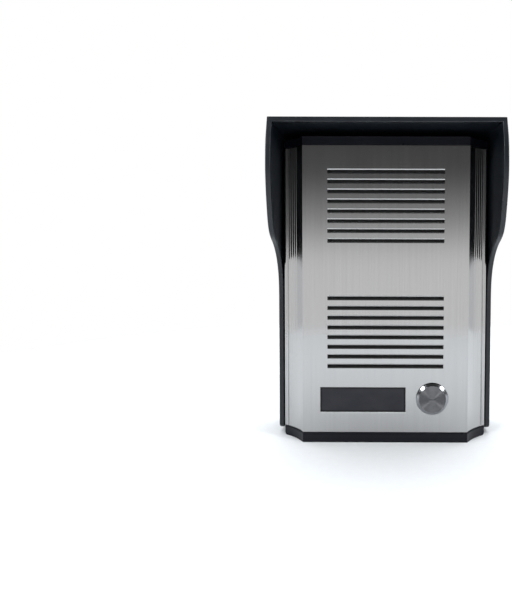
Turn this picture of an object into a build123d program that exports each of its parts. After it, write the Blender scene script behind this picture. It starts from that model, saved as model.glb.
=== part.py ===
from build123d import *
import math
import os

# Door intercom panel: an outdoor speech station in its surface-mounted rain hood.
# X is right as seen by a caller, the front faces -Y, Z is up.
# The origin is the middle of the wall bracket, on the wall.

# ---- driving dimensions, millimetres ----
HOOD_HALF_W = 52.4
HOOD_TOP = 73.0
HOOD_BOTTOM = -74.0
HOOD_FOOT_R = 1.8
HOOD_WALL = 2.3
BACK_PLATE = 3.0
FLANGE = 1.5
WINDOW_HALF_W, WINDOW_HALF_H = 43.7, 64.0
STRIP_Y = -22.0
HOOD_EDGE_R = 0.4

PLATE_Y = -36.0
PLATE_TOP = 63.2
PLATE_BOTTOM = -71.1
FLAT_HALF_W = 38.8
FLANK_HALF_W = 48.9
FLANK_DEPTH = 10.4
FLANK_SAG = 0.9
PLATE_WALL = 1.6
SKIRT_WALL = 1.4
STATION_REAR = -4.0
REED_COUNT = 6
REED_SPAN = (0.352, 0.912)
REED_R = 0.32
CORNER_R = 0.5
FOOT_BEVEL_H, FOOT_BEVEL_DEPTH = 0.45, 0.25

TOP_CAP_H = 4.1
BOTTOM_CAP_H = 4.7
CAP_REVEAL = 0.5
CAP_CORNER_R = 1.2

SLOT_W = 54.4
SLOT_H = 1.35
SLOT_BEVEL_H, SLOT_BEVEL_DEPTH = 0.45, 0.26
SLOT_PITCH = 4.575
SLOTS_PER_GROUP = 8
UPPER_FIRST_Z = 51.4
LOWER_FIRST_Z = -7.4

NAME_X, NAME_Z = -10.5, -55.5
NAME_W, NAME_H = 40.1, 11.7

BUTTON_X, BUTTON_Z = 22.05, -54.85
BUTTON_R = 7.45
BUTTON_FACE_R = 6.3
BUTTON_FACE_Y = -37.5

PORT_X_FRONT, PORT_Y_FRONT = 36.6, -32.2
PORT_X_REAR, PORT_Y_REAR = 45.3, -16.0
PORT_R, PORT_BORE_R = 2.6, 1.3

FRAME_FRONT, FRAME_BACK = -29.4, -27.4
BOARD_FRONT, BOARD_BACK = -14.0, -12.4
COVER_FRONT, COVER_BACK = -6.0, -4.0

SPEAKER_Z = UPPER_FIRST_Z - 3.5 * SLOT_PITCH
MIC_Z = LOWER_FIRST_Z - 3.5 * SLOT_PITCH
TERMINAL_Z = -12.0
TRIMMER_X, TRIMMER_Z = -24.0, 22.0
ENTRY_Z = -24.0
ENTRY_R = 10.0
STANDOFFS = [(sx * 33.0, z) for sx in (-1, 1) for z in (-38.0, 42.0)]
COVER_SCREWS = [(sx * 39.0, z) for sx in (-1, 1) for z in (-66.6, 58.7)]
HOOKS_X = (-25.0, 25.0)
HOOK_Z = 44.0
WALL_HOLES = [(sx * 30.0, z) for sx in (-1, 1) for z in (-44.0, 58.0)]

os.makedirs("parts", exist_ok=True)


# ---- helpers ----
def block(x0, x1, y0, y1, z0, z1):
    """A box given by its limits."""
    size = (abs(x1 - x0), abs(y1 - y0), abs(z1 - z0))
    middle = ((x0 + x1) / 2, (y0 + y1) / 2, (z0 + z1) / 2)
    return Pos(*middle) * Box(*size)


def rod_y(x, z, r, y0, y1):
    """A cylinder along Y."""
    middle = Pos(x, (y0 + y1) / 2, z) * Rot(90, 0, 0)
    return middle * Cylinder(r, abs(y1 - y0))


def rod_z(x, y, r, z0, z1):
    """A cylinder along Z."""
    return Pos(x, y, (z0 + z1) / 2) * Cylinder(r, abs(z1 - z0))


def cone_y(x, z, r0, r1, y0, y1):
    """A cone frustum along Y, radius r0 at y0 and r1 at y1, with y1 > y0."""
    middle = Pos(x, (y0 + y1) / 2, z) * Rot(-90, 0, 0)
    return middle * Cone(r0, r1, y1 - y0)


def ring_y(x, z, r_out, r_in, y0, y1):
    """A flat ring or tube along Y."""
    return rod_y(x, z, r_out, y0, y1) - rod_y(x, z, r_in, y0 - 1, y1 + 1)


def turned_y(x, z, profile):
    """A solid of revolution about a Y axis from (radius, y) corners."""
    face = make_face(Polyline([(r, y, 0) for r, y in profile], close=True))
    return Pos(x, 0, z) * revolve(face, Axis.Y, 360)


def prism_z(face, z0, z1):
    """An XY face carried from z0 to z1."""
    return extrude(Pos(0, 0, z0) * face, z1 - z0, dir=(0, 0, 1))


def save(node, *solids):
    """One STEP file for one node."""
    shape = solids[0] if len(solids) == 1 else Compound(children=list(solids))
    shape.label = node
    export_step(shape, "parts/" + node + ".step")


# ---- section of the front extrusion ----
COVE_CHORD = math.hypot(FLANK_HALF_W - FLAT_HALF_W, FLANK_DEPTH)
COVE_R = (COVE_CHORD ** 2 / 4 + FLANK_SAG ** 2) / (2 * FLANK_SAG)
COVE_SHIFT = (COVE_R - FLANK_SAG) / COVE_CHORD
COVE_X = (FLAT_HALF_W + FLANK_HALF_W) / 2 + COVE_SHIFT * FLANK_DEPTH
COVE_Y = PLATE_Y + FLANK_DEPTH / 2 - COVE_SHIFT * (FLANK_HALF_W - FLAT_HALF_W)


def cove_y(x, inset=0.0):
    """Depth of the coved flank at x, or of its inner face at the given wall."""
    return COVE_Y + math.sqrt((COVE_R + inset) ** 2 - (x - COVE_X) ** 2)


def station_face(inset=0.0, side_inset=0.0, rear=STATION_REAR):
    """The station's outline as a flat face: flat front, coved flanks, straight sides."""
    side = FLANK_HALF_W - side_inset
    front = PLATE_Y + inset
    edge = COVE_X - math.sqrt((COVE_R + inset) ** 2 - (front - COVE_Y) ** 2)
    middle = (edge + side) / 2
    middle_y, side_y = cove_y(middle, inset), cove_y(side, inset)
    return make_face([
        Line((-edge, front), (edge, front)),
        ThreePointArc((edge, front), (middle, middle_y), (side, side_y)),
        Line((side, side_y), (side, rear)),
        Line((side, rear), (-side, rear)),
        Line((-side, rear), (-side, side_y)),
        ThreePointArc((-side, side_y), (-middle, middle_y), (-edge, front)),
    ])


def plate_section():
    """The extrusion: front, coved flanks with reeds, skirts, screw ports and rails."""
    section = station_face() - station_face(PLATE_WALL, SKIRT_WALL, STATION_REAR + 5)
    for side in (-1, 1):
        for px, py in ((PORT_X_FRONT, PORT_Y_FRONT), (PORT_X_REAR, PORT_Y_REAR)):
            section += Pos(side * px, py) * Circle(PORT_R)
            section -= Pos(side * px, py) * Circle(PORT_BORE_R)
        section += Pos(side * 43.7, FRAME_BACK + 0.75) * Rectangle(7.9, 1.2)
        for i in range(REED_COUNT):
            share = REED_SPAN[0] + (REED_SPAN[1] - REED_SPAN[0]) * i / (REED_COUNT - 1)
            x = FLAT_HALF_W + share * (FLANK_HALF_W - FLAT_HALF_W)
            section -= Pos(side * x, cove_y(x, -0.1)) * Circle(REED_R)
    return section


# ---- rain hood ----
# Front edge of the hood's side walls, from the roof down to the low strips: (y, z).
RIM = [
    (-49.0, 73.0), (-50.7, 68.0), (-52.5, 62.0), (-53.2, 56.0), (-53.4, 50.5),
    (-52.8, 44.0), (-51.7, 38.0), (-50.1, 32.0), (-48.8, 28.0), (-47.5, 25.4),
    (-45.7, 22.9), (-42.1, 20.3), (-36.6, 17.6), (-32.4, 14.8), (-29.2, 11.9),
    (-26.8, 8.9), (-24.5, 5.0), (-22.95, 0.5), (-22.2, -4.5), (STRIP_Y, -11.0),
]


def rain_hood():
    """Roof, side walls and a thin back flange in one moulding."""
    corner = 2.6
    foot = HOOD_BOTTOM + corner
    edges = [
        Line((0, HOOD_TOP), RIM[0]),
        Spline(RIM),
        Line(RIM[-1], (STRIP_Y, foot)),
        JernArc((STRIP_Y, foot), (0, -1), corner, 90),
        Line((STRIP_Y + corner, HOOD_BOTTOM), (0, HOOD_BOTTOM)),
        Line((0, HOOD_BOTTOM), (0, HOOD_TOP)),
    ]
    side = Plane.YZ.offset(-HOOD_HALF_W) * make_face(edges)
    hood = extrude(side, 2 * HOOD_HALF_W, dir=(1, 0, 0))
    inner_w = HOOD_HALF_W - HOOD_WALL
    roof_under = HOOD_TOP - HOOD_WALL
    hood -= block(-inner_w, inner_w, -90, -FLANGE, -90, roof_under)
    soft = []
    for edge in hood.edges():
        middle, rearmost = edge.center(), edge.bounding_box().max.Y
        in_rim = abs(middle.X) < inner_w + 0.1 and middle.Z < roof_under + 0.1
        if abs(middle.X) > HOOD_HALF_W - 0.1 or (in_rim and rearmost < -5):
            soft.append(edge)
    hood = fillet(soft, HOOD_EDGE_R)
    for x in (-1, 1):
        edge_x, low = x * (HOOD_HALF_W + 0.001), HOOD_BOTTOM - 0.001
        centre = (edge_x - x * HOOD_FOOT_R, low + HOOD_FOOT_R)
        spare = Rectangle(HOOD_FOOT_R, HOOD_FOOT_R)
        spare = Pos(edge_x - x * HOOD_FOOT_R / 2, low + HOOD_FOOT_R / 2) * spare
        spare -= Pos(*centre) * Circle(HOOD_FOOT_R)
        hood -= extrude(Plane.XZ.offset(90) * spare, -100)
    return hood - block(-WINDOW_HALF_W, WINDOW_HALF_W, -9, 9, -WINDOW_HALF_H, WINDOW_HALF_H)


save("rain_hood", rain_hood())


def wall_bracket():
    """The plate that clamps the hood to the wall, with hooks, pads and a lock boss."""
    half_w, half_h = WINDOW_HALF_W - 0.2, WINDOW_HALF_H - 0.2
    plate = block(-half_w, half_w, -FLANGE - 0.1, 0, -half_h, half_h)
    plate += block(-half_w - 3, half_w + 3, -BACK_PLATE, -FLANGE - 0.1, -68.0, half_h + 2.5)
    for x, z in WALL_HOLES:
        plate -= rod_y(x, z, 2.2, -9, 9)
        plate -= cone_y(x, z, 3.9, 2.2, -BACK_PLATE - 0.01, -BACK_PLATE + 1.4)
    plate -= rod_y(0, ENTRY_Z, ENTRY_R, -9, 9)
    for x in HOOKS_X:
        plate += block(x - 4, x + 4, -8.6, -BACK_PLATE, HOOK_Z, HOOK_Z + 3)
        plate += block(x - 4, x + 4, -8.6, -6.5, HOOK_Z, HOOK_Z + 6.2)
    for x, z in ((-42, 30), (42, 30), (-42, -50), (42, -50)):
        plate += rod_y(x, z, 3.0, -3.9, -BACK_PLATE)
    plate += block(-5, 5, -11.6, -BACK_PLATE, -68.0, -61.5)
    return plate - rod_z(0, -7.8, 1.3, -75, -63)


save("wall_bracket", wall_bracket())


# ---- front extrusion ----
def slot_heights():
    """Height of each of the sound slots, upper group then lower group."""
    upper = [UPPER_FIRST_Z - i * SLOT_PITCH for i in range(SLOTS_PER_GROUP)]
    lower = [LOWER_FIRST_Z - i * SLOT_PITCH for i in range(SLOTS_PER_GROUP)]
    return upper + lower


def bevelled_window(x, z, w, h, bevel):
    """A rectangular opening through the front with a bevelled front edge."""
    opening = block(x - w / 2, x + w / 2, PLATE_Y - 1, PLATE_Y + 4, z - h / 2, z + h / 2)
    grown = Pos(x, PLATE_Y - 0.001, z) * Rot(-90, 0, 0) * Rectangle(w + 2 * bevel, h + 2 * bevel)
    return opening + extrude(grown, bevel, dir=(0, 1, 0), taper=45)


def sound_slot(z):
    """A slot through the front whose long edges have a shallow bevel."""
    half, lip, front = SLOT_H / 2, SLOT_H / 2 + SLOT_BEVEL_H, PLATE_Y - 0.002
    deep = PLATE_Y + SLOT_BEVEL_DEPTH
    outline = Polyline(
        (front, z - lip), (deep, z - half), (PLATE_Y + 4, z - half),
        (PLATE_Y + 4, z + half), (deep, z + half), (front, z + lip), close=True,
    )
    section = Plane.YZ.offset(-SLOT_W / 2) * make_face(outline)
    return extrude(section, SLOT_W, dir=(1, 0, 0))


def foot_bevel():
    """What the shallow bevel takes off the lower front edge of the extrusion."""
    low = PLATE_BOTTOM - 0.002
    whole = prism_z(station_face(-1.0), low, PLATE_BOTTOM + FOOT_BEVEL_H)
    kept = loft([
        Pos(0, 0, low) * station_face(FOOT_BEVEL_DEPTH),
        Pos(0, 0, PLATE_BOTTOM + FOOT_BEVEL_H) * station_face(0.0),
    ])
    return whole - kept


faceplate = prism_z(plate_section(), PLATE_BOTTOM, PLATE_TOP)
side_y = cove_y(FLANK_HALF_W)
corners = [
    e for e in faceplate.edges().filter_by(Axis.Z)
    if abs(abs(e.center().X) - FLANK_HALF_W) < 0.01 and abs(e.center().Y - side_y) < 0.01
]
faceplate = fillet(corners, CORNER_R)
for slot_z in slot_heights():
    faceplate -= sound_slot(slot_z)
faceplate -= bevelled_window(NAME_X, NAME_Z, NAME_W, NAME_H, 0.15)
faceplate -= rod_y(BUTTON_X, BUTTON_Z, BUTTON_R + 0.2, PLATE_Y - 1, PLATE_Y + 3)
faceplate -= foot_bevel()
save("faceplate", faceplate)


# ---- end caps and their screws ----
CAP_SCREWS = [
    (sx * px, py)
    for sx in (-1, 1)
    for px, py in ((PORT_X_FRONT, PORT_Y_FRONT), (PORT_X_REAR, PORT_Y_REAR))
]


def end_cap(z_in, z_out, screws_z):
    """A moulded cap with the extrusion's outline, rear bosses and countersunk seats."""
    up = 1 if z_out > z_in else -1
    low, high = min(z_in, z_out), max(z_in, z_out)
    step = z_in + up * CAP_REVEAL
    cap = prism_z(station_face(), min(step, z_out), max(step, z_out))
    rim = cap.edges().group_by(Axis.Z)[-1 if up > 0 else 0]
    sides = rim.filter_by(Axis.Y)
    cap = fillet(sides, CAP_CORNER_R)
    cap += prism_z(station_face(0.4, 0.4), min(step, z_in), max(step, z_in))
    for x, y in CAP_SCREWS:
        seat = z_out - up * 2.2
        cap -= rod_z(x, y, 1.6, low - 1, high + 1)
        cap -= rod_z(x, y, 2.8, min(seat, z_out + up), max(seat, z_out + up))
    reach = z_in - up * 8.3
    for x, z in COVER_SCREWS:
        if (z > 0) == (up > 0):
            boss = block(x - 3.6, x + 3.6, -13, COVER_FRONT - 0.1, z_in, reach)
            bore = rod_y(x, z, 1.1, -12.4, 0)
            cap += boss - bore
    lip = block(-30, 30, PLATE_Y + PLATE_WALL + 0.5, PLATE_Y + PLATE_WALL + 2.0, z_in, z_in - up * 1.6)
    return cap + lip


top_cap = end_cap(PLATE_TOP, PLATE_TOP + TOP_CAP_H, PLATE_TOP)
save("top_cap", top_cap)
bottom_cap = end_cap(PLATE_BOTTOM, PLATE_BOTTOM - BOTTOM_CAP_H, PLATE_BOTTOM)
bottom_cap -= rod_z(0, -7.8, 1.7, -80, -65)
bottom_cap -= rod_z(0, -7.8, 3.0, -80, PLATE_BOTTOM - BOTTOM_CAP_H + 2.3)
save("bottom_cap", bottom_cap)


def cap_screw(x, y, z_seat, up, head_r=2.5, shank=10.0):
    """A pan-head screw with a cross recess, its head outward."""
    shaft_end = z_seat - up * shank
    screw = rod_z(x, y, 1.24, min(z_seat, shaft_end), max(z_seat, shaft_end))
    top = z_seat + up * 1.6
    screw += rod_z(x, y, head_r, min(z_seat, top), max(z_seat, top))
    lo, hi = min(top - up * 0.9, top + up), max(top - up * 0.9, top + up)
    for w, h in ((2.6, 0.5), (0.5, 2.6)):
        screw -= block(x - w / 2, x + w / 2, y - h / 2, y + h / 2, lo, hi)
    return screw


top_seat = PLATE_TOP + TOP_CAP_H - 2.2
bottom_seat = PLATE_BOTTOM - BOTTOM_CAP_H + 2.2
save("top_cap_screws", *[cap_screw(x, y, top_seat, 1) for x, y in CAP_SCREWS])
save("bottom_cap_screws", *[cap_screw(x, y, bottom_seat, -1) for x, y in CAP_SCREWS])
lock_seat = PLATE_BOTTOM - BOTTOM_CAP_H + 2.3
save("locking_screw", cap_screw(0, -7.8, lock_seat, -1, 2.7, 9.5))


# ---- rear cover ----
def rear_cover():
    """The back of the station, with hook slots, a terminal window and an adjuster hole."""
    cover = block(-47.2, 47.2, COVER_FRONT, COVER_BACK, PLATE_BOTTOM + 0.2, PLATE_TOP - 0.2)
    for x in HOOKS_X:
        cover -= block(x - 5, x + 5, -9, 0, HOOK_Z - 4.5, HOOK_Z + 3.6)
    cover -= block(-13, 13, -9, 0, -33, TERMINAL_Z + 6)
    cover -= block(-6, 6, -9, 0, -75, -60.5)
    cover -= rod_y(TRIMMER_X, TRIMMER_Z, 3.0, -9, 0)
    for x, z in COVER_SCREWS:
        cover -= rod_y(x, z, 1.4, -9, 0)
        cover -= cone_y(x, z, 1.4, 2.7, COVER_BACK - 1.3, COVER_BACK + 0.01)
    return cover


save("rear_cover", rear_cover())


def cover_screw(x, z):
    """A countersunk screw put in from the back."""
    screw = cone_y(x, z, 1.2, 2.5, COVER_BACK - 1.4, COVER_BACK - 0.1)
    screw += rod_y(x, z, 1.04, -12.2, COVER_BACK - 1.0)
    for w, h in ((2.2, 0.5), (0.5, 2.2)):
        screw -= block(x - w / 2, x + w / 2, COVER_BACK - 0.8, 0, z - h / 2, z + h / 2)
    return screw


save("rear_cover_screws", *[cover_screw(x, z) for x, z in COVER_SCREWS])


# ---- inner frame that carries speaker, microphone, lamp and board ----
def inner_frame():
    """A moulded plate that slides into the extrusion's rails, with standoffs for the board."""
    frame = block(-41.0, 41.0, FRAME_FRONT, FRAME_BACK, -66, 61.2)
    frame -= rod_y(0, SPEAKER_Z, 22.5, -40, 0)
    frame += ring_y(0, SPEAKER_Z, 27.0, 22.5, FRAME_FRONT - 2.0, FRAME_FRONT)
    for sx in (-1, 1):
        for sz in (-1, 1):
            x, z = sx * 19.7, SPEAKER_Z + sz * 19.7
            frame += rod_y(x, z, 3.4, FRAME_FRONT - 2.0, FRAME_BACK)
    for sx in (-1, 1):
        for sz in (-1, 1):
            x, z = sx * 19.7, SPEAKER_Z + sz * 19.7
            frame -= rod_y(x, z, 1.1, -40, -20)
    frame -= rod_y(0, MIC_Z, 7.1, -40, 0)
    frame -= rod_y(BUTTON_X, BUTTON_Z, 10.3, -40, 0)
    frame -= block(NAME_X - 15, NAME_X + 15, -40, 0, NAME_Z - 4, NAME_Z + 4)
    for x, z in STANDOFFS:
        frame += rod_y(x, z, 3.2, FRAME_BACK, BOARD_FRONT - 0.05)
        frame -= rod_y(x, z, 1.1, -26, 0)
    return frame


save("inner_frame", inner_frame())


# ---- speaker ----
S = SPEAKER_Z
FLANGE_FRONT = FRAME_FRONT - 3.0
save("speaker_gasket", ring_y(0, S, 24.8, 21.6, PLATE_Y + PLATE_WALL + 0.35, FLANGE_FRONT))


def speaker_basket():
    """A pressed steel basket with four windows and a rear seat for the magnet."""
    outer = [(26.0, FLANGE_FRONT), (26.0, FLANGE_FRONT + 0.9), (22.3, FLANGE_FRONT + 0.9)]
    back = [(22.3, -30.7), (13.0, -23.6), (6.0, -23.6), (6.0, -24.4), (12.4, -24.4)]
    basket = turned_y(0, S, outer + back + [(21.6, -31.1), (21.6, FLANGE_FRONT)])
    for i in range(4):
        window = Pos(0, -27.5, S) * Rot(0, 45 + 90 * i, 0) * Pos(17.5, 0, 0) * Box(12, 5.2, 10)
        basket -= window
    for sx in (-1, 1):
        for sz in (-1, 1):
            basket -= rod_y(sx * 19.7, S + sz * 19.7, 1.5, -40, -20)
    return basket


save("speaker_basket", speaker_basket())
save("speaker_magnet", ring_y(0, S, 11.5, 4.6, -22.4, -17.6))
pole = rod_y(0, S, 11.0, -17.5, -16.3) + rod_y(0, S, 3.4, -24.9, -17.5)
save("speaker_pole_piece", pole)
save("speaker_top_plate", ring_y(0, S, 11.0, 4.6, -23.5, -22.5))
cone_outline = [
    (18.6, -31.7), (18.6, -31.3), (5.2, -27.0), (4.05, -26.4), (4.05, -27.0), (5.0, -27.6),
]
save("speaker_cone", turned_y(0, S, cone_outline))
surround = turned_y(
    0, S,
    [(21.5, -31.7), (20.6, -32.3), (19.4, -32.3), (18.7, -31.75), (18.7, -31.3),
     (19.5, -31.95), (20.5, -31.95), (21.5, -31.3)],
)
save("speaker_surround", surround)
dome = [
    (0.0, -30.7), (2.6, -30.4), (5.2, -29.5), (6.7, -28.75), (6.7, -28.25), (5.2, -28.9),
    (2.5, -29.9), (0.0, -30.2),
]
save("speaker_dust_cap", turned_y(0, S, dome))
save("speaker_voice_coil", ring_y(0, S, 4.0, 3.7, -27.5, -21.0))


def pan_screw(x, z, seat, length, head_r, head_h, shank_r, facing):
    """A pan-head screw along Y, its head on the side given by facing."""
    tip = seat - facing * length
    screw = rod_y(x, z, shank_r, min(seat, tip), max(seat, tip))
    top = seat + facing * head_h
    screw += rod_y(x, z, head_r, min(seat, top), max(seat, top))
    lo, hi = min(top - facing * 0.6, top + facing), max(top - facing * 0.6, top + facing)
    for w, h in ((head_r * 1.1, 0.45), (0.45, head_r * 1.1)):
        screw -= block(x - w / 2, x + w / 2, lo, hi, z - h / 2, z + h / 2)
    return screw


speaker_screws = [
    pan_screw(sx * 19.7, S + sz * 19.7, FLANGE_FRONT - 0.02, 4.8, 2.4, 1.2, 1.05, -1)
    for sx in (-1, 1)
    for sz in (-1, 1)
]
save("speaker_screws", *speaker_screws)

CLOTH_FRONT = PLATE_Y + PLATE_WALL
save("speaker_mesh", block(-29.5, 29.5, CLOTH_FRONT, CLOTH_FRONT + 0.3, S - 19, S + 19))
save("mic_mesh", block(-29.5, 29.5, CLOTH_FRONT, CLOTH_FRONT + 0.3, MIC_Z - 18.4, MIC_Z + 18.4))


# ---- microphone ----
boot = turned_y(
    0, MIC_Z,
    [(2.2, -33.9), (6.9, -33.9), (6.9, -30.7), (8.6, -30.7), (8.6, FRAME_FRONT - 0.05),
     (6.9, FRAME_FRONT - 0.05), (6.9, -25.6), (4.9, -25.6), (4.9, -32.9), (2.2, -32.9)],
)
save("mic_boot", boot)
capsule = rod_y(0, MIC_Z, 4.85, -32.85, -26.2) - ring_y(0, MIC_Z, 4.0, 3.2, -34, -32.6)
for px in (-1.3, 1.3):
    capsule += rod_y(px, MIC_Z, 0.35, -26.3, -24.8)
save("mic_capsule", capsule)


# ---- nameplate ----
window = block(NAME_X - 19.85, NAME_X + 19.85, PLATE_Y + 0.55, -34.2, NAME_Z - 5.65, NAME_Z + 5.65)
window += block(NAME_X - 21.2, NAME_X + 21.2, -34.3, -33.2, NAME_Z - 7.0, NAME_Z + 7.0)
save("nameplate_window", window)
save("name_card", block(NAME_X - 20.4, NAME_X + 20.4, -33.1, -32.8, NAME_Z - 6.2, NAME_Z + 6.2))
holder = block(NAME_X - 21.8, NAME_X + 21.8, -34.2, -29.5, NAME_Z - 8.2, NAME_Z + 8.2)
holder -= block(NAME_X - 21.3, NAME_X + 21.3, -35, -32.7, NAME_Z - 7.1, NAME_Z + 7.1)
holder -= block(NAME_X - 20.6, NAME_X + 20.6, -33, -30.9, NAME_Z - 6.4, NAME_Z + 6.4)
holder -= block(NAME_X - 18.0, NAME_X + 18.0, -33, -28, NAME_Z - 4.6, NAME_Z + 4.6)
save("nameplate_holder", holder)
save("light_diffuser", block(NAME_X - 20.4, NAME_X + 20.4, -32.6, -31.0, NAME_Z - 6.2, NAME_Z + 6.2))
save("lamp_board", block(NAME_X - 18, NAME_X + 18, -27.3, -26.3, NAME_Z - 6, NAME_Z + 6))
leds = [
    block(NAME_X + dx - 1.75, NAME_X + dx + 1.75, -29.2, -27.3, NAME_Z - 1.4, NAME_Z + 1.4)
    for dx in (-10, 0, 10)
]
save("lamp_leds", *leds)


# ---- call button ----
BX, BZ = BUTTON_X, BUTTON_Z
cap = turned_y(
    BX, BZ,
    [(0.0, BUTTON_FACE_Y), (BUTTON_FACE_R, BUTTON_FACE_Y), (BUTTON_R, BUTTON_FACE_Y + 0.8),
     (BUTTON_R, -34.2), (8.5, -34.2), (8.5, -33.1), (6.3, -33.1), (6.3, -36.3), (0.0, -36.3)],
)
save("button_cap", cap)
plunger = rod_y(BX, BZ, 6.2, -36.25, -34.8) + rod_y(BX, BZ, 2.3, -36, -22.0)
plunger -= ring_y(BX, BZ, 3.0, 1.7, -23.35, -22.55)
save("button_plunger", plunger)
clip = ring_y(BX, BZ, 4.0, 1.75, -23.3, -22.7) - block(BX - 1.3, BX + 1.3, -25, -20, BZ - 5, BZ)
save("button_clip", clip)


def button_housing():
    """A guide cup held between the front and the inner frame by two lugs."""
    cup = ring_y(BX, BZ, 10.1, 8.8, PLATE_Y + PLATE_WALL + 0.1, -25.0)
    cup += ring_y(BX, BZ, 10.1, 2.6, -25.0, -23.5)
    lugs = block(BX - 5, BX + 5, -30.6, FRAME_FRONT - 0.05, BZ - 13.5, BZ + 13.5)
    cup += lugs - rod_y(BX, BZ, 9.5, -32, -28)
    return cup


save("button_housing", button_housing())


def coil_spring(x, z, r, wire, y0, y1, turns):
    """A compression spring along Y."""
    path = Helix(pitch=(y1 - y0) / turns, height=y1 - y0, radius=r)
    section = Plane(origin=path @ 0, z_dir=path % 0) * Circle(wire)
    coil = sweep(section, path=path, is_frenet=True)
    return Pos(x, y0, z) * Rot(-90, 0, 0) * coil


save("button_spring", coil_spring(BX, BZ, 7.3, 0.3, -32.7, -25.4, 4.5))

switch = block(BX - 4.25, BX + 4.25, -19.5, BOARD_FRONT - 0.05, BZ - 4.25, BZ + 4.25)
switch -= rod_y(BX, BZ, 1.9, -21, -16.5)
for sx in (-1, 1):
    for dz in (-2.5, 0, 2.5):
        switch += rod_y(BX + sx * 2.6, BZ + dz, 0.3, BOARD_FRONT - 0.1, -11.4)
save("push_switch_body", switch)
save("push_switch_actuator", rod_y(BX, BZ, 1.7, -21.9, -18.1))


# ---- main board and what it carries ----
board = block(-37, 37, BOARD_FRONT, BOARD_BACK, -62, 46)
for x, z in STANDOFFS:
    board -= rod_y(x, z, 1.4, -20, 0)
for sx in (-1, 1):
    for dz in (-2.5, 0, 2.5):
        board -= rod_y(BX + sx * 2.6, BZ + dz, 0.4, -20, 0)
save("main_board", board)
board_screws = [
    pan_screw(x, z, BOARD_BACK + 0.02, 6.5, 2.4, 1.4, 1.05, 1) for x, z in STANDOFFS
]
save("board_screws", *board_screws)

terminal = block(-10.4, 10.4, BOARD_BACK, -4.8, TERMINAL_Z - 4.2, TERMINAL_Z + 4.2)
for i in range(4):
    x = -7.5 + 5 * i
    terminal -= block(x - 1.9, x + 1.9, -11.2, -7.4, TERMINAL_Z - 6, TERMINAL_Z + 2)
    terminal -= rod_y(x, TERMINAL_Z, 1.8, -7.6, -3)
save("terminal_block", terminal)
clamps = []
for i in range(4):
    x = -7.5 + 5 * i
    cage = block(x - 1.8, x + 1.8, -11.1, -7.5, TERMINAL_Z - 1.7, TERMINAL_Z + 1.7)
    clamps.append(cage - block(x - 1.3, x + 1.3, -10.5, -8.9, -30, 0) - rod_y(x, TERMINAL_Z, 1.0, -9, 0))
save("terminal_clamps", *clamps)
terminal_screws = []
for i in range(4):
    x = -7.5 + 5 * i
    screw = rod_y(x, TERMINAL_Z, 1.6, -7.4, -5.9) + rod_y(x, TERMINAL_Z, 0.95, -9.4, -7.4)
    terminal_screws.append(screw - block(x - 2, x + 2, -6.4, -5, TERMINAL_Z - 0.25, TERMINAL_Z + 0.25))
save("terminal_screws", *terminal_screws)


def dip_chip(x, z, w, h, pins):
    """A dual in-line chip on the back of the board."""
    body = block(x - w / 2, x + w / 2, BOARD_BACK + 0.5, BOARD_BACK + 3.8, z - h / 2, z + h / 2)
    for i in range(pins):
        pin_z = z + (i - (pins - 1) / 2) * 2.54
        for sx in (-1, 1):
            edge, foot = x + sx * w / 2, x + sx * (w / 2 + 0.7)
            leg = block(edge, foot, BOARD_BACK + 1.7, BOARD_BACK + 2.1, pin_z - 0.3, pin_z + 0.3)
            leg += block(foot - sx * 0.4, foot, BOARD_BACK + 0.02, BOARD_BACK + 2.1, pin_z - 0.3, pin_z + 0.3)
            body += leg
    return body


save("amplifier_chip", dip_chip(22, 12, 6.4, 9.6, 4))
cans = [
    rod_y(x, z, r, BOARD_BACK + 0.02, BOARD_BACK + 5.6)
    for x, z, r in ((12, 24, 3.1), (22, 26, 2.5), (30, 18, 2.5), (-12, 10, 3.1), (-30, 6, 2.5))
]
save("capacitors", *cans)


def axial_part(x, z, r, length):
    """A resistor lying along X with bent leads."""
    y = BOARD_BACK + r + 0.1
    part = Pos(x, y, z) * Rot(0, 90, 0) * Cylinder(r, length)
    part += Pos(x, y, z) * Rot(0, 90, 0) * Cylinder(0.28, length + 4)
    for sx in (-1, 1):
        part += rod_y(x + sx * (length / 2 + 1.8), z, 0.28, BOARD_BACK + 0.02, y + 0.2)
    return part


resistors = [axial_part(-24, 36 - 3.4 * i, 1.1, 6.0) for i in range(3)]
resistors += [axial_part(26, -6 - 3.4 * i, 1.1, 6.0) for i in range(5)]
save("resistors", *resistors)
halves = [
    rod_y(x, z, 2.3, BOARD_BACK + 1.2, BOARD_BACK + 5.8) - block(x - 3, x + 3, -13, -5, z - 3, z - 1.1)
    for x, z in ((-22, -28), (-22, -40), (24, -36))
]
for i, (x, z) in enumerate(((-22, -28), (-22, -40), (24, -36))):
    for dx in (-1.3, 0, 1.3):
        halves[i] += rod_y(x + dx, z, 0.25, BOARD_BACK + 0.02, BOARD_BACK + 1.3)
save("transistors", *halves)

TX, TZ = TRIMMER_X, TRIMMER_Z
trimmer = block(TX - 3.3, TX + 3.3, BOARD_BACK + 0.02, -8.9, TZ - 3.3, TZ + 3.3)
trimmer -= rod_y(TX, TZ, 2.3, -9.9, -8)
save("trimmer_body", trimmer)
rotor = rod_y(TX, TZ, 2.2, -9.8, -8.1)
rotor -= block(TX - 1.8, TX + 1.8, -8.8, -8, TZ - 0.3, TZ + 0.3)
rotor -= block(TX - 0.3, TX + 0.3, -8.8, -8, TZ, TZ + 1.8)
save("trimmer_rotor", rotor)

core = block(-8, 8, -24.5, BOARD_FRONT - 0.02, -16, -2)
core -= block(-5, -2.5, -26, -12, -13, -5) + block(2.5, 5, -26, -12, -13, -5)
save("transformer_core", core)
coil = block(-4.9, 4.9, -25.5, -14.2, -12.9, -5.1) - block(-2.6, 2.6, -27, -12, -17, 0)
coil_top = block(-4.9, 4.9, -25.6, -24.6, -12.9, -5.1)
save("transformer_coil", coil + coil_top)


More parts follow.
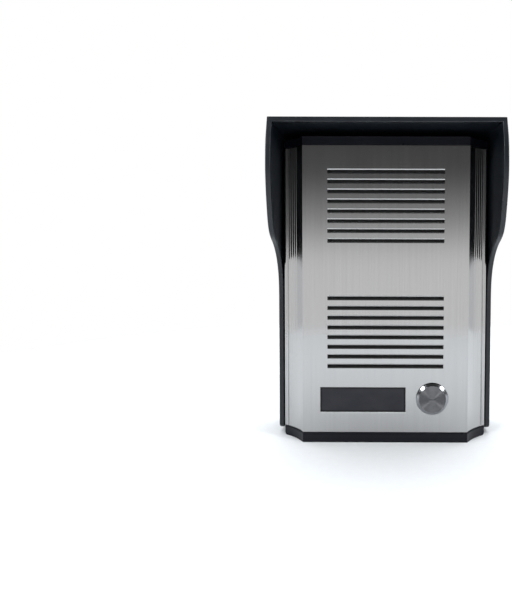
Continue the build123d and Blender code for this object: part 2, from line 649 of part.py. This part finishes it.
# ---- internal wiring ----
def lead(points, r):
    """A round wire through the given points."""
    path = Spline(points)
    section = Plane(origin=path @ 0, z_dir=path % 0) * Circle(r)
    return sweep(section, path=path)


speaker_wires = [
    lead([(17.6 + d, -22.6, 22.5), (22 + d, -20.6, 20.0), (26 + d, -17.5, 17.0), (27.5 + d, -14.7, 14.0)], 0.55)
    for d in (0, 2.2)
]
save("speaker_wires", *speaker_wires)
mic_wires = [
    lead([(dx, -24.3, MIC_Z), (dx * 2.2, -22.5, MIC_Z - 3), (dx * 2.6, -18, MIC_Z - 7), (dx * 2.6, -14.1, MIC_Z - 8)], 0.45)
    for dx in (-1.3, 1.3)
]
save("mic_wires", *mic_wires)
lamp_wires = [
    lead([(NAME_X + dx, -25.8, NAME_Z + 3), (NAME_X + dx, -22, NAME_Z + 6), (NAME_X + dx, -17, NAME_Z + 9), (NAME_X + dx, -14.1, NAME_Z + 9.5)], 0.45)
    for dx in (-12, -9.5)
]
save("lamp_wires", *lamp_wires)
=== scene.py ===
import math

import bpy
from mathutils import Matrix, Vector


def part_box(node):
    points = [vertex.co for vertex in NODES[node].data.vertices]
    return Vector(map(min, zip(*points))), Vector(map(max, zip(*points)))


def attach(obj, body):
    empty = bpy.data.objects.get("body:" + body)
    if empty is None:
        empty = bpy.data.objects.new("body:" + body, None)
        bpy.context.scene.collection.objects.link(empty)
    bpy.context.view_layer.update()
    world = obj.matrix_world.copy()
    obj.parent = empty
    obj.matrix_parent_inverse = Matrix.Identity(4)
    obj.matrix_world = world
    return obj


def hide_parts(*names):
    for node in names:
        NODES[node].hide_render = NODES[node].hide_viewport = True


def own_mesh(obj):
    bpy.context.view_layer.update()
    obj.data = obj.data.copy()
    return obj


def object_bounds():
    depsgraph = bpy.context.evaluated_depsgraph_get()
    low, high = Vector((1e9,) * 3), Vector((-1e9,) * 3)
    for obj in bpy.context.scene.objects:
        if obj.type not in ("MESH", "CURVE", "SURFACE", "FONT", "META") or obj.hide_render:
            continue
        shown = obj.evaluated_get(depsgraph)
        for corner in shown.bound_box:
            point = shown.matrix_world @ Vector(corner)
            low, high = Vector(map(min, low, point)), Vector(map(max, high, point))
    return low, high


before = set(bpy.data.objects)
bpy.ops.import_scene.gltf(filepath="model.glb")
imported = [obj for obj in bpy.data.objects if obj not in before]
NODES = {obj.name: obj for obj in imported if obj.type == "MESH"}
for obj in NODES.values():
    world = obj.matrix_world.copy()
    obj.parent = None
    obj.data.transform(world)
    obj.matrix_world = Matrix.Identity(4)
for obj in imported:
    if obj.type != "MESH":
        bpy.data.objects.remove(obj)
cad_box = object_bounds()


# ---- node helpers ----
class Graph:
    """A small wrapper that makes and links shader nodes."""

    def __init__(self, tree):
        self.tree = tree
        self.nodes = tree.nodes
        self.nodes.clear()

    def node(self, kind, **settings):
        made = self.nodes.new("ShaderNode" + kind)
        for key, value in settings.items():
            setattr(made, key, value)
        return made

    def put(self, socket, value):
        if isinstance(value, bpy.types.NodeSocket):
            self.tree.links.new(value, socket)
        else:
            socket.default_value = value

    def maths(self, operation, a, b=0.0, clamp=False):
        made = self.node("Math", operation=operation, use_clamp=clamp)
        self.put(made.inputs[0], a)
        self.put(made.inputs[1], b)
        return made.outputs[0]

    def place(self, scale=(1, 1, 1), offset=(0, 0, 0), turn=(0, 0, 0)):
        coords = self.node("TexCoord").outputs["Object"]
        mapping = self.node("Mapping")
        self.put(mapping.inputs["Vector"], coords)
        mapping.inputs["Scale"].default_value = scale
        mapping.inputs["Location"].default_value = offset
        mapping.inputs["Rotation"].default_value = turn
        return mapping.outputs[0]

    def noise(self, vector, scale, detail=3.0, rough=0.5):
        made = self.node("TexNoise")
        self.put(made.inputs["Vector"], vector)
        made.inputs["Scale"].default_value = scale
        made.inputs["Detail"].default_value = detail
        made.inputs["Roughness"].default_value = rough
        return made.outputs[0]

    def remap(self, value, a, b, c, d, smooth=False):
        made = self.node("MapRange", clamp=True)
        if smooth:
            made.interpolation_type = "SMOOTHSTEP"
        self.put(made.inputs["Value"], value)
        for name, number in (("From Min", a), ("From Max", b), ("To Min", c), ("To Max", d)):
            made.inputs[name].default_value = number
        return made.outputs[0]

    def blend(self, factor, a, b, kind="MIX"):
        made = self.node("Mix", data_type="RGBA", blend_type=kind)
        self.put(made.inputs[0], factor)
        self.put(made.inputs[6], a if isinstance(a, bpy.types.NodeSocket) else (*a[:3], 1))
        self.put(made.inputs[7], b if isinstance(b, bpy.types.NodeSocket) else (*b[:3], 1))
        return made.outputs[2]

    def bump(self, height, strength, distance):
        made = self.node("Bump")
        made.inputs["Strength"].default_value = strength
        made.inputs["Distance"].default_value = distance
        self.put(made.inputs["Height"], height)
        return made.outputs[0]


def surface(name, **constants):
    """A new Principled material: (material, graph, shader)."""
    material = bpy.data.materials.new(name)
    material.use_nodes = True
    graph = Graph(material.node_tree)
    shader = graph.node("BsdfPrincipled")
    output = graph.node("OutputMaterial")
    graph.put(output.inputs["Surface"], shader.outputs[0])
    for key, value in constants.items():
        shader.inputs[key].default_value = value
    return material, graph, shader


def edge_mask(graph, radius, patch_scale):
    """Where sharp edges are rubbed: high near edges, broken up by noise."""
    soft = graph.node("Bevel", samples=4)
    soft.inputs["Radius"].default_value = radius
    true = graph.node("NewGeometry").outputs["Normal"]
    dot = graph.node("VectorMath", operation="DOT_PRODUCT")
    graph.put(dot.inputs[0], soft.outputs[0])
    graph.put(dot.inputs[1], true)
    edge = graph.remap(dot.outputs["Value"], 0.985, 0.90, 0.0, 1.0, smooth=True)
    patch = graph.remap(graph.noise(graph.place(), patch_scale, 4.0, 0.65), 0.46, 0.66, 0.0, 1.0, smooth=True)
    return graph.maths("MULTIPLY", edge, patch, clamp=True)


# ---- materials ----
def brushed_aluminium(name, tint, rough, aniso=0.8):
    """Aluminium brushed along Z: fine vertical lines that spread reflections sideways."""
    material, g, shader = surface(name, Metallic=1.0, Anisotropic=aniso)
    coarse = g.noise(g.place((1.0, 1.0, 0.012)), 1150.0, 4.0, 0.6)
    fine = g.noise(g.place((1.0, 1.0, 0.006), offset=(3.1, 0, 1.7)), 3800.0, 3.0, 0.6)
    cloud = g.noise(g.place((1, 1, 0.35)), 60.0, 3.0, 0.5)
    lines = g.maths("ADD", g.maths("MULTIPLY", coarse, 0.6), g.maths("MULTIPLY", fine, 0.4))
    dark = tuple(c * 0.95 for c in tint)
    light = tuple(min(1.0, c * 1.05) for c in tint)
    color = g.blend(g.remap(lines, 0.30, 0.70, 0.0, 1.0), dark, light)
    g.put(shader.inputs["Base Color"], color)
    by_line = g.remap(lines, 0.3, 0.7, rough - 0.015, rough + 0.02)
    worn = g.maths("ADD", by_line, g.remap(cloud, 0.3, 0.7, -0.006, 0.008))
    g.put(shader.inputs["Roughness"], worn)
    tangent = g.node("Tangent", direction_type="RADIAL", axis="Z")
    g.put(shader.inputs["Tangent"], tangent.outputs[0])
    g.put(shader.inputs["Normal"], g.bump(lines, 0.018, 0.00003))
    return material


def moulded(name, tint, rough, grain=0.10, grain_scale=2400.0, wear=0.0, coat=0.0, specular=0.5):
    """Moulded plastic: fine spark-eroded grain, faint mottling, lighter rubbed edges."""
    material, g, shader = surface(name)
    shader.inputs["Specular IOR Level"].default_value = specular
    shader.inputs["Coat Weight"].default_value = coat
    shader.inputs["Coat Roughness"].default_value = 0.12
    fine = g.noise(g.place(), grain_scale, 4.0, 0.55)
    mottle = g.noise(g.place(), 95.0, 4.0, 0.6)
    dark = tuple(c * 0.93 for c in tint)
    light = tuple(min(1.0, c * 1.08) for c in tint)
    color = g.blend(g.remap(mottle, 0.35, 0.65, 0.0, 1.0), dark, light)
    if wear:
        rubbed = tuple(c * 2.0 + 0.05 for c in tint)
        color = g.blend(g.maths("MULTIPLY", edge_mask(g, 0.0006, 160.0), wear), color, rubbed)
    g.put(shader.inputs["Base Color"], color)
    g.put(shader.inputs["Roughness"], g.remap(mottle, 0.3, 0.7, rough - 0.03, rough + 0.03))
    g.put(shader.inputs["Normal"], g.bump(fine, grain, 0.00006))
    return material


def metal(name, tint, rough, grain_scale=900.0, stretch=(1, 1, 1), bump=0.06):
    """Plain or plated metal with light handling marks."""
    material, g, shader = surface(name, Metallic=1.0)
    mark = g.noise(g.place(stretch), grain_scale, 5.0, 0.6)
    cloud = g.noise(g.place(), 180.0, 3.0)
    dark = tuple(c * 0.80 for c in tint)
    g.put(shader.inputs["Base Color"], g.blend(g.remap(cloud, 0.3, 0.7, 0.0, 1.0), dark, tint))
    g.put(shader.inputs["Roughness"], g.remap(mark, 0.3, 0.7, rough - 0.06, rough + 0.10))
    g.put(shader.inputs["Normal"], g.bump(mark, bump, 0.00004))
    return material


def woven(name, tint, pitch):
    """Fine cloth: over and under threads of the given pitch in metres."""
    material, g, shader = surface(name, Roughness=0.85)
    shader.inputs["Sheen Weight"].default_value = 0.15
    coords = g.place()
    parts = g.node("SeparateXYZ")
    g.put(parts.inputs[0], coords)
    turns = 2 * math.pi / pitch
    warp = g.maths("SINE", g.maths("MULTIPLY", parts.outputs[0], turns))
    weft = g.maths("SINE", g.maths("MULTIPLY", parts.outputs[2], turns))
    weave = g.remap(g.maths("MULTIPLY", warp, weft), -1.0, 1.0, 0.0, 1.0)
    g.put(shader.inputs["Base Color"], g.blend(weave, tuple(c * 0.4 for c in tint), tint))
    g.put(shader.inputs["Normal"], g.bump(weave, 0.6, pitch * 0.3))
    return material


def spun_steel(name, centre):
    """The push-button: a turned face with concentric marks, a polished bevel outside it."""
    material, g, shader = surface(name, Metallic=1.0, Anisotropic=0.95)
    offset = g.place(offset=tuple(-c for c in centre))
    parts = g.node("SeparateXYZ")
    g.put(parts.inputs[0], offset)
    flat = g.node("CombineXYZ")
    g.put(flat.inputs[0], parts.outputs[0])
    g.put(flat.inputs[1], parts.outputs[2])
    length = g.node("VectorMath", operation="LENGTH")
    g.put(length.inputs[0], flat.outputs[0])
    radius = length.outputs["Value"]
    ring_pos = g.node("CombineXYZ")
    g.put(ring_pos.inputs[0], radius)
    rings = g.noise(ring_pos.outputs[0], 5200.0, 3.0, 0.6)
    face_edge, edge_blend = 0.00631, 0.00004
    face = g.remap(radius, face_edge - edge_blend, face_edge + edge_blend, 1.0, 0.0)
    tone = g.blend(g.remap(rings, 0.3, 0.7, 0.0, 1.0), (0.14, 0.14, 0.147), (0.20, 0.20, 0.207))
    g.put(shader.inputs["Base Color"], g.blend(face, (0.26, 0.27, 0.285), tone))
    turned = g.remap(rings, 0.3, 0.7, 0.40, 0.50)
    polished = g.maths("SUBTRACT", 1.0, face)
    rough = g.maths("ADD", g.maths("MULTIPLY", turned, face), g.maths("MULTIPLY", 0.11, polished))
    g.put(shader.inputs["Roughness"], rough)
    tangent = g.node("Tangent", direction_type="RADIAL", axis="Y")
    g.put(shader.inputs["Tangent"], tangent.outputs[0])
    height = g.maths("MULTIPLY", rings, face)
    g.put(shader.inputs["Normal"], g.bump(height, 0.12, 0.00002))
    return material


def smoked(name):
    """The nameplate window: dark smoked acrylic, with a band of painted shade along its edges where it sits
    recessed.
    """
    material, g, shader = surface(name)
    shader.inputs["Specular IOR Level"].default_value = 0.22
    shader.inputs["Coat Weight"].default_value = 0.05
    shader.inputs["Coat Roughness"].default_value = 0.18
    parts = g.node("SeparateXYZ")
    g.put(parts.inputs[0], g.place())
    lo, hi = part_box("nameplate_window")
    cx, cz = (lo.x + hi.x) / 2, (lo.z + hi.z) / 2
    half_w, half_h = 0.01985, 0.00565
    dx = g.maths("ABSOLUTE", g.maths("SUBTRACT", parts.outputs[0], cx))
    dz = g.maths("ABSOLUTE", g.maths("SUBTRACT", parts.outputs[2], cz))
    margin = g.maths("MINIMUM", g.maths("SUBTRACT", half_w, dx), g.maths("SUBTRACT", half_h, dz))
    # Painted shade: a dark band along the window's edges stands in for the shadow of the recess it sits in.
    painted_recess_shade = g.remap(margin, 0.00035, 0.00065, 1.0, 0.0, smooth=True)
    cloud = g.noise(g.place((0.6, 1, 1)), 160.0, 4.0)
    body = g.blend(g.remap(cloud, 0.3, 0.7, 0.0, 1.0), (0.017, 0.017, 0.023), (0.026, 0.026, 0.032))
    # The near-black colour is the painted shade in that edge band; the rest is the smoked body colour.
    g.put(shader.inputs["Base Color"], g.blend(painted_recess_shade, body, (0.003, 0.003, 0.004)))
    g.put(shader.inputs["Roughness"], g.remap(cloud, 0.3, 0.7, 0.30, 0.42))
    fine = g.noise(g.place(), 1800.0, 3.0)
    g.put(shader.inputs["Normal"], g.bump(fine, 0.05, 0.00004))
    return material


def board_green(name):
    """Circuit board: solder mask with faint tracks."""
    material, g, shader = surface(name)
    shader.inputs["Coat Weight"].default_value = 0.4
    tracks = g.node("TexBrick")
    g.put(tracks.inputs["Vector"], g.place((1, 1, 1), turn=(math.pi / 2, 0, 0)))
    tracks.inputs["Scale"].default_value = 130.0
    tracks.inputs["Mortar Size"].default_value = 0.08
    tracks.inputs["Color1"].default_value = (0.018, 0.115, 0.045, 1)
    tracks.inputs["Color2"].default_value = (0.022, 0.135, 0.055, 1)
    tracks.inputs["Mortar"].default_value = (0.012, 0.075, 0.030, 1)
    g.put(shader.inputs["Base Color"], tracks.outputs["Color"])
    cloud = g.noise(g.place(), 400.0, 3.0)
    g.put(shader.inputs["Roughness"], g.remap(cloud, 0.3, 0.7, 0.28, 0.42))
    g.put(shader.inputs["Normal"], g.bump(tracks.outputs["Fac"], 0.15, 0.00005))
    return material


button_lo, button_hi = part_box("button_cap")
button_centre = (button_lo + button_hi) / 2

hood_black = moulded("hood_black", (0.0052, 0.0078, 0.0118), 0.36, 0.16, 2600.0, wear=0.60, specular=0.45)
cap_black = moulded("cap_black", (0.0042, 0.0050, 0.0088), 0.30, 0.12, 3000.0, wear=0.2, specular=0.20)
cover_black = moulded("cover_black", (0.018, 0.018, 0.019), 0.55, 0.30, 1600.0, wear=0.2)
frame_grey = moulded("frame_grey", (0.055, 0.055, 0.058), 0.50, 0.20, 2000.0)
white_plastic = moulded("white_plastic", (0.72, 0.72, 0.69), 0.40, 0.08, 2400.0)
opal = moulded("opal", (0.82, 0.82, 0.79), 0.30, 0.05, 2400.0)
black_plastic = moulded("black_plastic", (0.014, 0.014, 0.015), 0.45, 0.20, 2600.0)
terminal_green = moulded("terminal_green", (0.020, 0.155, 0.060), 0.42, 0.12, 2200.0)
trimmer_blue = moulded("trimmer_blue", (0.010, 0.050, 0.330), 0.34, 0.08, 2600.0)
sleeve_blue = moulded("sleeve_blue", (0.010, 0.014, 0.060), 0.26, 0.04, 1500.0, coat=0.4)
resistor_tan = moulded("resistor_tan", (0.56, 0.40, 0.22), 0.36, 0.06, 1800.0, coat=0.3)
tape_yellow = moulded("tape_yellow", (0.62, 0.42, 0.04), 0.24, 0.05, 900.0, coat=0.4)
red_pvc = moulded("red_pvc", (0.40, 0.015, 0.012), 0.30, 0.05, 1500.0)
grey_pvc = moulded("grey_pvc", (0.16, 0.16, 0.17), 0.32, 0.05, 1500.0)
led_epoxy = moulded("led_epoxy", (0.86, 0.84, 0.62), 0.18, 0.02, 1500.0, coat=0.6)
foam_black = moulded("foam_black", (0.014, 0.014, 0.014), 0.90, 0.9, 1400.0)
rubber_black = moulded("rubber_black", (0.016, 0.016, 0.016), 0.70, 0.30, 1800.0)
ferrite = moulded("ferrite", (0.045, 0.045, 0.048), 0.55, 0.40, 1800.0)
cone_pulp = moulded("cone_pulp", (0.022, 0.022, 0.023), 0.85, 0.60, 1500.0)
card = moulded("card", (0.20, 0.20, 0.21), 0.75, 0.20, 2200.0)
basket_paint = moulded("basket_paint", (0.020, 0.020, 0.022), 0.38, 0.06, 1500.0)
core_iron = metal("core_iron", (0.11, 0.10, 0.10), 0.55, 2200.0, (1, 0.05, 0.05), 0.3)
zinc = metal("zinc", (0.62, 0.62, 0.60), 0.30)
steel = metal("steel", (0.58, 0.58, 0.57), 0.26)
tinned = metal("tinned", (0.66, 0.60, 0.46), 0.30)
copper = metal("copper", (0.72, 0.34, 0.18), 0.30, 5000.0, (0.05, 1, 0.05), 0.4)
capsule_metal = metal("capsule_metal", (0.72, 0.72, 0.72), 0.28)
cloth = woven("cloth", (0.010, 0.010, 0.011), 0.0005)
surround_cloth = woven("surround_cloth", (0.020, 0.020, 0.020), 0.0006)
aluminium = brushed_aluminium("aluminium", (0.42, 0.42, 0.42), 0.17, 0.85)
spun = spun_steel("spun_steel", (button_centre.x, button_centre.y, button_centre.z))
window = smoked("smoked_window")
pcb = board_green("pcb")

SURFACES = {
    hood_black: ["rain_hood"],
    cap_black: ["top_cap", "bottom_cap"],
    cover_black: ["rear_cover", "wall_bracket"],
    aluminium: ["faceplate"],
    spun: ["button_cap"],
    window: ["nameplate_window"],
    pcb: ["main_board", "lamp_board"],
    cloth: ["speaker_mesh", "mic_mesh"],
    surround_cloth: ["speaker_surround"],
    frame_grey: ["inner_frame", "button_plunger"],
    white_plastic: ["nameplate_holder", "push_switch_actuator", "trimmer_rotor"],
    opal: ["light_diffuser"],
    led_epoxy: ["lamp_leds"],
    black_plastic: ["button_housing", "push_switch_body", "amplifier_chip", "transistors"],
    terminal_green: ["terminal_block"],
    trimmer_blue: ["trimmer_body"],
    sleeve_blue: ["capacitors"],
    resistor_tan: ["resistors"],
    tape_yellow: ["transformer_coil"],
    red_pvc: ["speaker_wires"],
    grey_pvc: ["mic_wires", "lamp_wires"],
    foam_black: ["speaker_gasket"],
    rubber_black: ["mic_boot"],
    ferrite: ["speaker_magnet"],
    cone_pulp: ["speaker_cone", "speaker_dust_cap"],
    card: ["name_card"],
    basket_paint: ["speaker_basket"],
    core_iron: ["transformer_core"],
    zinc: [
        "top_cap_screws", "bottom_cap_screws", "rear_cover_screws", "speaker_screws",
        "board_screws", "terminal_screws", "speaker_pole_piece", "speaker_top_plate",
    ],
    steel: ["locking_screw", "button_clip", "button_spring"],
    tinned: ["terminal_clamps"],
    copper: ["speaker_voice_coil"],
    capsule_metal: ["mic_capsule"],
}
for material, names in SURFACES.items():
    for name in names:
        for slot in NODES[name].material_slots:
            slot.material = material


# ---- pieces that replace soft or springy solids ----
def new_piece(name, points, faces, material):
    """A smooth-shaded mesh object from points and faces."""
    mesh = bpy.data.meshes.new(name)
    mesh.from_pydata(points, [], faces)
    mesh.update()
    for polygon in mesh.polygons:
        polygon.use_smooth = True
    mesh.materials.append(material)
    piece = bpy.data.objects.new(name, mesh)
    bpy.context.scene.collection.objects.link(piece)
    return piece


def ring_faces(rings, size, closed):
    """Quads joining each ring of points to the next, with flat ends unless it closes on itself."""
    faces = []
    for i in range(rings if closed else rings - 1):
        for j in range(size):
            k, low, high = (j + 1) % size, i * size, (i + 1) % rings * size
            faces.append((low + j, low + k, high + k, high + j))
    if not closed:
        faces.append(tuple(reversed(range(size))))
        faces.append(tuple(range((rings - 1) * size, rings * size)))
    return faces


def return_spring():
    """The button's compression spring: open coils between two closed, ground end coils."""
    lo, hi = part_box("button_spring")
    centre = (lo + hi) / 2
    wire, around, per_turn = 0.0003, 12, 40
    radius = (hi.x - lo.x) / 2 - wire
    first, last = lo.y + wire, hi.y - wire
    end_pitch, end_turns, open_turns = wire * 2.1, 1.0, 4.0
    open_pitch = (last - first - 2 * end_pitch * end_turns) / open_turns
    total = open_turns + 2 * end_turns
    points, y = [], first
    steps = int(total * per_turn)
    for i in range(steps + 1):
        turn = i / per_turn
        at_end = turn < end_turns or turn > total - end_turns
        angle = 2 * math.pi * turn
        out = Vector((math.cos(angle), 0, math.sin(angle)))
        middle = Vector((centre.x, y, centre.z)) + out * radius
        for j in range(around):
            a = 2 * math.pi * j / around
            points.append(middle + out * wire * math.cos(a) + Vector((0, wire * math.sin(a), 0)))
        y += (end_pitch if at_end else open_pitch) / per_turn
    piece = new_piece("return_spring", points, ring_faces(steps + 1, around, False), steel)
    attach(piece, "housing")
    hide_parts("button_spring")
    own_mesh(piece)


def grille_cloth(name, node):
    """Thin cloth stretched behind a row of slots, pulled in a little between its corners."""
    lo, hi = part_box(node)
    wide, tall, thick = hi.x - lo.x, hi.z - lo.z, hi.y - lo.y
    across_n, up_n = 48, 32
    pull, slack_depth, hem = 0.012, 0.00003, 0.00012
    points, faces = [], []
    for side in (0, 1):
        for i in range(up_n + 1):
            for j in range(across_n + 1):
                u, v = 2 * j / across_n - 1, 2 * i / up_n - 1
                pull_x = 1 - pull * (1 - v * v)
                pull_z = 1 - pull * (1 - u * u)
                x = (lo.x + hi.x) / 2 + u * wide / 2 * pull_x
                z = (lo.z + hi.z) / 2 + v * tall / 2 * pull_z
                ripple = 1 + math.sin(9 * u + 4 * v)
                slack = slack_depth * (1 - u * u) * (1 - v * v) * ripple
                y = lo.y + slack + side * (thick - hem)
                points.append((x, y, z))
    row, layer = across_n + 1, (across_n + 1) * (up_n + 1)
    for i in range(up_n):
        for j in range(across_n):
            a = i * row + j
            faces.append((a, a + 1, a + 1 + row, a + row))
            faces.append((a + layer, a + row + layer, a + 1 + row + layer, a + 1 + layer))
    rim = list(range(row)) + [i * row + across_n for i in range(1, up_n + 1)]
    rim += [up_n * row + j for j in range(across_n - 1, -1, -1)]
    rim += [i * row for i in range(up_n - 1, 0, -1)]
    for a, b in zip(rim, rim[1:] + rim[:1]):
        faces.append((b, a, a + layer, b + layer))
    piece = new_piece(name, points, faces, cloth)
    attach(piece, "housing")
    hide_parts(node)


def foam_ring():
    """The loudspeaker's foam gasket, its free sides crowned between plate and basket."""
    lo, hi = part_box("speaker_gasket")
    centre = (lo + hi) / 2
    width, bulge = 0.0032, 0.0003
    steps, around = 8, 96
    outer, depth = (hi.x - lo.x) / 2, hi.y - lo.y
    inner = outer - width
    profile = []
    for i in range(steps + 1):
        t = i / steps
        profile.append((outer - bulge * (2 * t - 1) ** 2, lo.y + depth * t))
    for i in range(steps + 1):
        t = 1 - i / steps
        profile.append((inner + bulge * (2 * t - 1) ** 2, lo.y + depth * t))
    points = []
    for i in range(around):
        a = 2 * math.pi * i / around
        for radius, y in profile:
            points.append((centre.x + radius * math.cos(a), y, centre.z + radius * math.sin(a)))
    piece = new_piece("foam_ring", points, ring_faces(around, len(profile), True), foam_black)
    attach(piece, "housing")
    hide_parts("speaker_gasket")


return_spring()
grille_cloth("upper_grille_cloth", "speaker_mesh")
grille_cloth("lower_grille_cloth", "mic_mesh")
foam_ring()

# ---- camera ----
lens = bpy.data.cameras.new("camera")
lens.sensor_fit = "HORIZONTAL"
lens.sensor_width = 36.0
lens.lens = 36.27
lens.shift_x = -0.229
lens.shift_y = -0.070
lens.clip_start, lens.clip_end = 0.01, 50.0
camera = bpy.data.objects.new("camera", lens)
bpy.context.scene.collection.objects.link(camera)
camera.location = (-0.00537, -0.276, 0.01598)
camera.rotation_euler = tuple(math.radians(a) for a in (87.5286, -0.1789, 0.1175))
bpy.context.scene.camera = camera

# ---- floor ----
floor_z = cad_box[0].z
bpy.ops.mesh.primitive_circle_add(vertices=96, radius=0.36, fill_type="NGON", location=(0, 0, floor_z))
floor = bpy.context.object
floor.name = "floor"
floor_white, g, shader = surface("floor_white", Roughness=0.7)
speckle = g.remap(g.noise(g.place(), 300.0, 3.0), 0.3, 0.7, 0.0, 1.0)
g.put(shader.inputs["Base Color"], g.blend(speckle, (0.89, 0.90, 0.92), (0.91, 0.92, 0.94)))
floor.data.materials.append(floor_white)


# ---- lights ----
def soft_light(name, place, target, size, watts, tint=(1, 1, 1)):
    data = bpy.data.lights.new(name, "AREA")
    data.shape = "RECTANGLE"
    data.size, data.size_y = size
    data.energy = watts
    data.color = tint
    lamp = bpy.data.objects.new(name, data)
    bpy.context.scene.collection.objects.link(lamp)
    lamp.location = place
    aim = Vector(target) - Vector(place)
    lamp.rotation_euler = aim.to_track_quat("-Z", "Y").to_euler()


soft_light("left_box", (-0.68, -0.74, 0.56), (0, 0.0, -0.02), (0.20, 0.16), 4.6)
soft_light("right_box", (0.84, -0.55, 0.46), (0, 0.0, -0.02), (0.18, 0.15), 4.0)
soft_light("overhead", (0.0, 0.20, 1.0), (0, 0.20, -0.07), (1.6, 1.2), 16.5, (0.93, 0.98, 1.0))

# Neutral studio in front of the object, by sine of elevation: pale below, darker above.
STUDIO = (
    (-0.20, 1.15),
    (-0.02, 1.15),
    (0.05, 0.50),
    (0.14, 0.10),
)
LOWEST, HIGHEST = -0.3, 0.7
world = bpy.data.worlds.new("studio")
bpy.context.scene.world = world
world.use_nodes = True
w = Graph(world.node_tree)
direction = w.node("TexCoord").outputs["Generated"]
axes = w.node("SeparateXYZ")
w.put(axes.inputs[0], direction)
along, up = axes.outputs[1:]
ramp = w.node("ValToRGB")
w.put(ramp.inputs[0], w.remap(up, LOWEST, HIGHEST, 0.0, 1.0))
stops = ramp.color_ramp.elements
while len(stops) < len(STUDIO):
    stops.new(0.5)
for stop, (level, grey) in zip(stops, STUDIO):
    stop.position = (level - LOWEST) / (HIGHEST - LOWEST)
    stop.color = (grey, grey, grey, 1)
front = ramp.outputs[0]
behind = w.remap(along, 0.05, 0.35, 0.0, 1.0, smooth=True)
around = w.blend(behind, front, (0.9, 0.92, 0.95))
seen = w.blend(w.node("LightPath").outputs["Is Camera Ray"], around, (1.0, 1.0, 1.0))
back = w.node("Background")
w.put(back.inputs["Color"], seen)
out = w.node("OutputWorld")
w.put(out.inputs["Surface"], back.outputs[0])
bpy.context.scene.view_settings.view_transform = "Standard"
